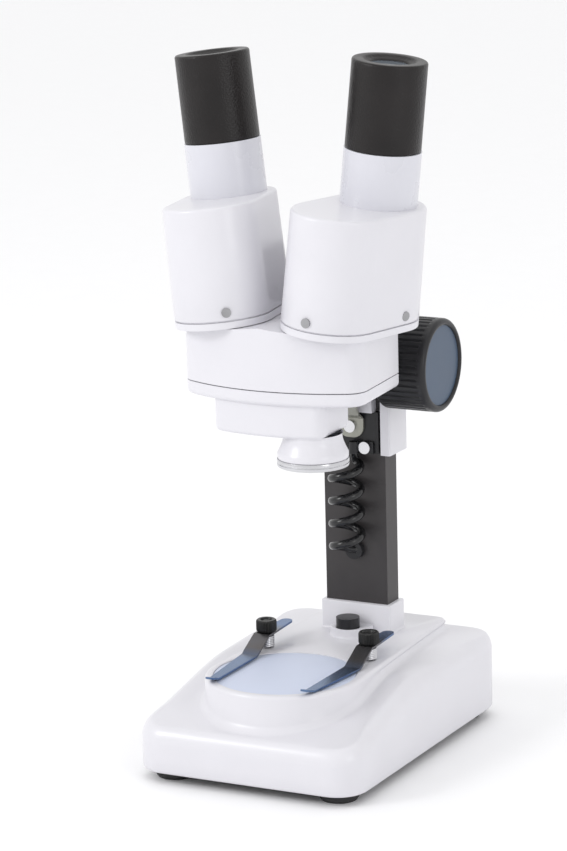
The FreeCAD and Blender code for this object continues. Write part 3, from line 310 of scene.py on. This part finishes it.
def rings_mesh(name, rings, low_cap=True, high_cap=True, sharp=32):
    """A skin through closed rings of points with as many points each."""
    made = bmesh.new()
    rows = [[made.verts.new(Vector(point) * MM) for point in ring] for ring in rings]
    count = len(rows[0])
    for low, high in zip(rows, rows[1:]):
        for i in range(count):
            j = (i + 1) % count
            made.faces.new((low[i], low[j], high[j], high[i]))
    if low_cap:
        made.faces.new(rows[0][::-1])
    if high_cap:
        made.faces.new(rows[-1])
    bmesh.ops.recalc_face_normals(made, faces=made.faces)
    return to_mesh(name, made, sharp)


def to_mesh(name, made, sharp=32):
    mesh = bpy.data.meshes.new(name)
    for face in made.faces:
        face.smooth = True
    for edge in made.edges:
        edge.smooth = len(edge.link_faces) != 2 or edge.calc_face_angle(0) < math.radians(sharp)
    made.to_mesh(mesh)
    made.free()
    return mesh


def turned(profile, count, place, axis=(0, 0, 1), ridge=None):
    """Rings of a turned part: (radius, height) pairs about an axis through place.

    ridge changes the radius by angle.
    """
    turn = Vector((0, 0, 1)).rotation_difference(Vector(axis)).to_matrix()
    rings = []
    for radius, height in profile:
        ring = []
        for i in range(count):
            angle = 2 * math.pi * i / count
            reach = radius if ridge is None else ridge(radius, height, angle)
            spot = Vector((reach * math.cos(angle), reach * math.sin(angle), height))
            ring.append(Vector(place) + turn @ spot)
        rings.append(ring)
    return rings


def rounding(radius, height, size, steps=5):
    """(radius, height) pairs of a quarter round that ends a cylinder's side at its top."""
    pairs = []
    for i in range(steps + 1):
        angle = math.pi / 2 * i / steps
        pairs.append((radius - size + size * math.cos(angle), height - size + size * math.sin(angle)))
    return pairs


def hull_outline(circles, steps):
    """Points around circles (x, y, radius) given anticlockwise, with the same number on each."""
    normals = []
    for i in range(len(circles)):
        ax, ay, ar = circles[i]
        bx, by, br = circles[(i + 1) % len(circles)]
        length = math.hypot(bx - ax, by - ay)
        along = Vector(((bx - ax) / length, (by - ay) / length))
        lean = (ar - br) / length
        normal = along * lean + Vector((along.y, -along.x)) * math.sqrt(1 - lean * lean)
        normals.append(math.atan2(normal.y, normal.x))
    points = []
    for i, (x, y, radius) in enumerate(circles):
        start, end = normals[i - 1], normals[i]
        while end < start:
            end += 2 * math.pi
        for k in range(steps + 1):
            angle = start + (end - start) * k / steps
            points.append((x + radius * math.cos(angle), y + radius * math.sin(angle)))
    return points


# --- base -----------------------------------------------------------------------------------------

BASE_CENTRE = Vector((0.0, -10.0))
BASE_RAYS = 240


def rays(outline):
    """The outline's points on evenly turned rays from the base's centre."""
    spots = []
    count = len(outline)
    for i in range(BASE_RAYS):
        angle = 2 * math.pi * i / BASE_RAYS
        way = Vector((math.cos(angle), math.sin(angle)))
        best = None
        for k in range(count):
            a = Vector(outline[k]) - BASE_CENTRE
            b = Vector(outline[(k + 1) % count]) - BASE_CENTRE
            edge = b - a
            cross = way.x * edge.y - way.y * edge.x
            if abs(cross) < 1e-9:
                continue
            reach = (a.x * edge.y - a.y * edge.x) / cross
            share = (a.x * way.y - a.y * way.x) / cross
            if reach > 0 and -1e-6 <= share <= 1 + 1e-6:
                best = max(best or 0, reach)
        spots.append(BASE_CENTRE + way * best)
    return spots


def make_base():
    low, high = low_high("base_shell")
    stage_low, stage_high = low_high("stage_plate")
    stage = (stage_low + stage_high) / 2
    half_x, half_y, floor = high.x, high.y, low.z
    top = 37.2
    rim = (stage_high.x - stage_low.x) / 2 + 3.5

    def base_outline(inset):
        corner = 12.0 - inset
        x, y = half_x - inset - corner, half_y - inset - corner
        return rays(hull_outline([(-x, -y, corner), (x, -y, corner), (x, y, corner), (-x, y, corner)], 16))

    def platform_outline(inset):
        back_x, back_y, corner = 21.6, 59.0, 4.0 - inset
        circles = [(0, stage.y, rim - inset), (back_x, back_y, corner), (-back_x, back_y, corner)]
        return rays(hull_outline(circles, 40))

    # the deck at the platform's front foot, its rise towards the back, and its level part
    foot_y, foot_z = -63.0, 22.0
    deck_rise, deck_top = 0.21, 33.7
    # the height at which the wall starts to round over, in the middle, and its rise
    crease_z, crease_rise = 24.9, 0.14

    def lower_of(a, b, blend):
        """The smaller of two heights, blended where they meet."""
        return b - blend * math.log(1 + math.exp((b - a) / blend))

    def deck(y):
        """Height of the base's top: a slope that turns level towards the back."""
        slope = foot_z + deck_rise * (y - foot_y)
        return lower_of(slope, deck_top, 1.0)

    def crease(y):
        """Height at which the wall starts to round over."""
        return lower_of(crease_z + crease_rise * y, deck(y) - 5.5, 0.6)

    def shoulder_width(y):
        """Width of the rounded shoulder: narrower at the front and the back, where the platform is near."""
        front = min(1.0, max(0.0, (-y - 44.0) / 18.0))
        back = min(1.0, max(0.0, (y - 44.0) / 18.0))
        return 7.0 - 2.9 * front * front * (3 - 2 * front) - 4.0 * back * back * (3 - 2 * back)

    def level(outline, height):
        return [Vector((spot.x, spot.y, height(spot) if callable(height) else height)) for spot in outline]

    def inward(outer, inner, share):
        """An outline part of the way from one outline to another; share may depend on the spot."""
        return [Vector((a.x, a.y)).lerp(Vector((b.x, b.y)), share(a) if callable(share) else share)
                for a, b in zip(outer, inner)]

    def kept_inside(outline, limit):
        """The outline, drawn in where it would reach past the limit."""
        spots = []
        for spot, edge in zip(outline, limit):
            inside = BASE_CENTRE + (Vector((edge.x, edge.y)) - BASE_CENTRE) * 0.985
            spots.append(spot if (spot - BASE_CENTRE).length < (inside - BASE_CENTRE).length else inside)
        return spots

    wall = base_outline(0)
    rings = [level(base_outline(3.0), floor + 1.5), level(base_outline(2.6), floor), level(base_outline(0.9), floor),
             level(base_outline(0.35), floor + 0.3), level(wall, floor + 1.0)]
    rings.append(level(wall, lambda p: floor + 0.5 * (crease(p.y) - floor)))
    # the rounded shoulder
    widest = 7.0
    inner_wall = base_outline(widest)
    for i in range(11):
        angle = math.pi / 2 * i / 10
        shoulder = inward(wall, inner_wall, lambda p: (1 - math.cos(angle)) * shoulder_width(p.y) / widest)
        rings.append(level(shoulder, lambda p: crease(p.y) + (deck(p.y) - crease(p.y)) * math.sin(angle)))
    # the deck, and the cove where it meets the platform's wall
    foot = kept_inside(platform_outline(-2.6), shoulder)
    for share in (0.25, 0.5, 0.75, 1.0):
        rings.append(level(inward(shoulder, foot, share), lambda p: deck(p.y)))
    for inset, rise, part in ((-1.5, 0.3, 0.07), (-0.8, 0.9, 0.2), (-0.3, 1.7, 0.34), (-0.08, 2.6, 0.48)):
        foot = kept_inside(platform_outline(inset), foot)
        rings.append(level(foot, lambda p: deck(p.y) + min(rise, part * (top - deck(p.y)))))
    for inset, drop in ((0.0, 1.6), (0.15, 0.9), (0.55, 0.3), (1.2, 0.0)):
        rings.append(level(platform_outline(inset), top - drop))
    ring = [(stage.x, stage.y, (stage_high.x - stage_low.x) / 2 + 0.3)]
    circle = [(ring[0][0] + ring[0][2] * math.cos(2 * math.pi * k / 160),
               ring[0][1] + ring[0][2] * math.sin(2 * math.pi * k / 160)) for k in range(160)]
    hole = rays(circle)
    inner = rays([(x * 0.992 + stage.x * 0.008, y * 0.992 + stage.y * 0.008) for x, y in circle])
    outer = rays([(x * 1.012 - stage.x * 0.012, y * 1.012 - stage.y * 0.012) for x, y in circle])
    rings.append(level(outer, top))
    rings.append(level(hole, top - 0.15))
    rings.append(level(inner, top - 1.2))
    mesh = rings_mesh("base_shell_skin", rings, low_cap=False, high_cap=False, sharp=50)
    base = piece("base_shell_skin", mesh, "stand", WHITE, "white_plastic", "base_shell")
    column_low, column_high = low_high("column")
    make_socket(column_low, column_high, top)
    return base


def make_socket(column_low, column_high, top):
    wall = 1.75
    corner = 0.9
    x = column_high.x + wall - corner
    y_low, y_high = column_low.y - wall + corner, column_high.y + wall - corner
    height = 48.7

    def outline(inset, z):
        points = hull_outline([(-x, y_low, corner - inset), (x, y_low, corner - inset),
                               (x, y_high, corner - inset), (-x, y_high, corner - inset)], 5)
        return [Vector((px, py, z)) for px, py in points]

    rings = [outline(-0.5, top - 0.5), outline(-0.45, top + 0.05), outline(-0.12, top + 0.4), outline(0, top + 1.0),
             outline(0, height - 0.5), outline(0.15, height - 0.15), outline(0.5, height)]
    piece("column_socket_skin", rings_mesh("column_socket_skin", rings), "stand", WHITE, "white_plastic")
    button = middle("power_button")
    radius = 8.4
    y = 28.0
    boss = [(radius + 0.5, top - 0.5), (radius + 0.4, top + 0.1), (radius + 0.1, top + 0.5), (radius, top + 1.0),
            (radius, top + 3.0), (radius - 0.2, top + 3.45), (radius - 0.7, top + 3.6), (5.0, top + 3.6), (4.75, top + 3.4),
            (4.75, top)]
    rings = []
    for reach, z in boss:
        share = min(1.0, max(0.0, (reach - 4.75) / (radius - 4.75)))
        centre_y = button.y + (y - button.y) * share
        turns = [2 * math.pi * k / 72 for k in range(72)]
        rings.append([Vector((reach * math.cos(turn), centre_y + reach * math.sin(turn), z)) for turn in turns])
    mesh = rings_mesh("button_boss_skin", rings, low_cap=False, high_cap=False)
    piece("button_boss_skin", mesh, "stand", WHITE, "white_plastic")


# --- clips ----------------------------------------------------------------------------------------

def coil_points(centre, radius, low, high, turns, per_turn=16):
    count = int(turns * per_turn)
    points = []
    for i in range(count + 1):
        angle = 2 * math.pi * i / per_turn
        points.append(Vector((centre.x + radius * math.cos(angle), centre.y + radius * math.sin(angle),
                              low + (high - low) * i / count)))
    return points


def spline(name, points, radius, resolution=6):
    data = bpy.data.curves.new(name, "CURVE")
    data.dimensions = "3D"
    data.bevel_depth = radius * MM
    data.bevel_resolution = resolution
    data.use_fill_caps = True
    data.resolution_u = 4
    line = data.splines.new("NURBS")
    line.points.add(len(points) - 1)
    for spot, point in zip(line.points, points):
        spot.co = (*(point * MM), 1)
    line.order_u = 3
    line.use_endpoint_u = True
    return data


def make_clips():
    for name, _ in SIDES:
        low, high = low_high("clip_spring_" + name)
        centre = (low + high) / 2
        outer = (high.x - low.x) / 2
        wire = 0.42
        points = coil_points(centre, outer - wire, low.z + wire, high.z - wire, 6.5)
        coil = spline("clip_coil_" + name, points, wire, 4)
        piece("clip_coil_" + name, coil, "stand", BRIGHT, "bright_steel", "clip_spring_" + name)
        make_clip_screw(name)


def make_clip_screw(name):
    low, high = low_high("clip_screw_" + name)
    centre = (low + high) / 2
    radius = (high.x - low.x) / 2
    top = high.z
    foot = top - 4.8

    def knurl(reach, height, angle):
        if reach > radius - 0.35:
            return reach - 0.28 * (0.5 + 0.5 * math.cos(40 * angle))
        return reach

    profile = [(0.6, low.z), (1.6, low.z + 0.5), (1.6, foot), (radius - 0.6, foot), (radius - 0.1, foot + 0.4),
               (radius, foot + 0.8), (radius, top - 0.8), (radius - 0.15, top - 0.35), (radius - 0.5, top),
               (2.5, top), (2.2, top - 0.3), (2.0, top - 0.9), (1.6, top - 0.8), (1.2, top - 0.5), (0.5, top - 0.4)]
    place = Vector((centre.x, centre.y, 0))
    rings = turned(profile, 240, place, ridge=knurl)
    piece("clip_knob_" + name, rings_mesh("clip_knob_" + name, rings, sharp=40), "stand", SCREW_BLACK, "black_screw",
          "clip_screw_" + name)


# --- focus knobs ----------------------------------------------------------------------------------

def make_knobs():
    for name, side in SIDES:
        low, high = low_high("focus_knob_" + name)
        centre = (low + high) / 2
        radius = (high.z - low.z) / 2
        length = high.x - low.x
        place = Vector((low.x if side > 0 else high.x, centre.y, centre.z))

        def ribs(reach, height, angle):
            if reach < radius - 1.2 or height > length - 3.2 or height < 1.0:
                return reach
            return reach - 0.55 * max(0.0, math.cos(44 * angle)) ** 0.7

        edge = 1.7
        profile = [(3.0, 0.6), (radius - 2.4, 0.6), (radius - 1.6, 0.0), (radius - 0.6, 0.0), (radius - 0.1, 0.5),
                   (radius, 1.0), (radius, 1.3), (radius, length / 2), (radius, length - 3.5), (radius, length - 3.1)]
        profile += [(r, h) for r, h in rounding(radius, length, edge, 6)]
        profile += [(radius - 2.2, length - 0.06), (radius - 2.55, length - 0.4), (radius - 2.6, length - 1.6)]
        rings = turned(profile, 352, place, (side, 0, 0), ribs)
        mesh = rings_mesh("focus_knob_" + name + "_skin", rings, high_cap=False, sharp=50)
        piece("focus_knob_" + name + "_skin", mesh, "focus_drive", BLACK, "black_plastic", "focus_knob_" + name)


# --- eyepieces, housings and objective ------------------------------------------------------------

def make_eyepieces():
    for name, _ in SIDES:
        axis = Vector(JOINTS["eyepiece_pull_" + name]["axis"])
        # the cup is wider than its stem, so its box's middle lies off the axis, which the tube gives
        on_axis = middle("eyepiece_tube_" + name)
        place = on_axis + axis * (middle("eyepiece_" + name) - on_axis).dot(axis)
        top = 23.45
        foot = top - 33.2
        profile = [(7.2, -top), (11.9, -top), (12.1, -top + 0.4), (12.1, foot - 0.2), (13.6, foot), (14.05, foot + 0.15),
                   (14.2, foot + 0.5), (14.2, foot + 1.2), (14.15, 5.0), (14.1, top - 2.0)]
        profile += rounding(14.1, top, 0.9, 5)
        profile += [(10.4, top), (9.9, top - 0.25), (9.4, top - 0.7), (8.2, top - 1.1), (7.5, top - 1.5), (7.2, top - 2.0),
                    (7.2, top - 6.0), (7.0, -top)]
        rings = turned(profile, 128, place, axis)
        mesh = rings_mesh("eyecup_" + name, rings, False, False)
        piece("eyecup_" + name, mesh, "eyepiece_" + name, EYEPIECE, "eyepiece_black", "eyepiece_" + name)


def make_housings():
    for name, side in SIDES:
        axis = Vector(JOINTS["eyepiece_pull_" + name]["axis"])
        tube_centre = middle("eyepiece_tube_" + name)
        # the tube is 26.4 long and its foot lies 6 below the housing's top
        top = tube_centre + axis * (6.0 - 26.4 / 2)
        tilt = Vector((0, 0, 1)).rotation_difference(axis).to_matrix()
        height = 42.5
        front_x, front_y = -side * 4.5, -23.2

        def outline(radius, z):
            circles = [(0, 0, radius), (front_x, front_y, radius)]
            if side < 0:
                circles = circles[::-1]
            points = hull_outline(circles, 40)
            return [top + tilt @ Vector((x, y, z - height)) for x, y in points]

        # the first rings leave a fine groove above the housing's plate
        rings = [outline(16.3, 0.4), outline(17.7, 0.05), outline(17.75, 0.6), outline(18.38, 0.64)]
        rings += [outline(18.5, 0.85), outline(18.25, height / 2)]
        rings += [outline(r, z) for r, z in rounding(18.0, height, 1.2, 5)]
        rings.append(outline(14.6, height))
        mesh = rings_mesh("housing_skin_" + name, rings, False, True)
        piece("housing_skin_" + name, mesh, "prism_unit_" + name, WHITE, "white_plastic", "housing_shell_" + name)


def make_barrel():
    low, high = low_high("objective_barrel")
    ring_low, ring_high = low_high("objective_ring")
    place = Vector(((low.x + high.x) / 2, (low.y + high.y) / 2, 0))
    wide = (high.x - low.x) / 2
    narrow = 10.9
    profile = [(narrow + 0.5, high.z + 0.3), (narrow, high.z - 0.6), (narrow + 0.25, high.z - 1.8)]
    for i in range(7):
        share = i / 6
        profile.append((narrow + 0.3 + (wide - narrow - 0.3) * (share ** 1.25), high.z - 2.2 - 5.0 * share))
    profile += [(wide, low.z + 0.5), (wide - 0.15, low.z + 0.12), (wide - 0.5, low.z), (5.8, low.z)]
    piece("barrel_skin", rings_mesh("barrel_skin", turned(profile, 128, place), False, False), "focus_carriage", WHITE,
          "white_plastic", "objective_barrel")
    outer = (ring_high.x - ring_low.x) / 2
    profile = [(wide - 1.0, ring_high.z), (outer - 0.35, ring_high.z), (outer - 0.1, ring_high.z - 0.12),
               (outer, ring_high.z - 0.4), (outer, ring_high.z - 1.3), (outer - 0.18, ring_high.z - 1.45),
               (outer - 0.18, ring_high.z - 1.65), (outer, ring_high.z - 1.8), (outer, ring_low.z + 0.5),
               (outer - 0.15, ring_low.z + 0.15), (outer - 0.5, ring_low.z), (10.5, ring_low.z), (9.2, ring_low.z + 0.9),
               (8.5, ring_low.z + 1.0), (8.5, ring_high.z)]
    piece("ring_skin", rings_mesh("ring_skin", turned(profile, 128, place), False, False), "focus_carriage", BRIGHT,
          "bright_steel", "objective_ring")


# --- cord -----------------------------------------------------------------------------------------

def make_cord():
    """The lamp's coiled cord, from the clamp on the carriage to the gland in the column."""
    low, high = low_high("lamp_cord")
    centre = (low + high) / 2
    cord = 1.7
    coil = (high.x - low.x) / 2 - cord
    turns = 3.96
    points = [Vector((1.8, 28.85, 111.5)), Vector((1.8, 28.85, 110.0))]
    start = math.radians(75)
    per_turn = 18
    count = int(turns * per_turn)
    top_z, low_z = high.z - 1.5, low.z + 2.5
    for i in range(count + 1):
        angle = start - 2 * math.pi * i / per_turn
        points.append(Vector((centre.x + coil * math.cos(angle), centre.y + coil * math.sin(angle),
                              top_z + (low_z - top_z) * i / count)))
    points.append(Vector((1.5, 32.3, low.z + 2.0)))
    points.append(Vector((0.0, 34.0, low.z + 2.0)))
    data = spline("lamp_cord_coil", points, cord)
    skin = curve_mesh(data)
    data.bevel_depth = 0
    route = curve_mesh(data)
    for face in skin.polygons:
        face.use_smooth = True
    thing = bpy.data.objects.new("lamp_cord_coil", skin)
    bpy.context.scene.collection.objects.link(thing)
    skin.materials.clear()
    skin.materials.append(CORD)
    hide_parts("lamp_cord")
    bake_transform(thing)


def curve_mesh(data):
    """The mesh of a curve as it stands."""
    holder = bpy.data.objects.new("holder", data)
    bpy.context.scene.collection.objects.link(holder)
    mesh = bpy.data.meshes.new_from_object(holder)
    bpy.data.objects.remove(holder)
    return mesh


make_camera()
make_cord()
paint_nodes()
make_studio()
make_base()
make_clips()
make_knobs()
make_eyepieces()
make_housings()
make_barrel()
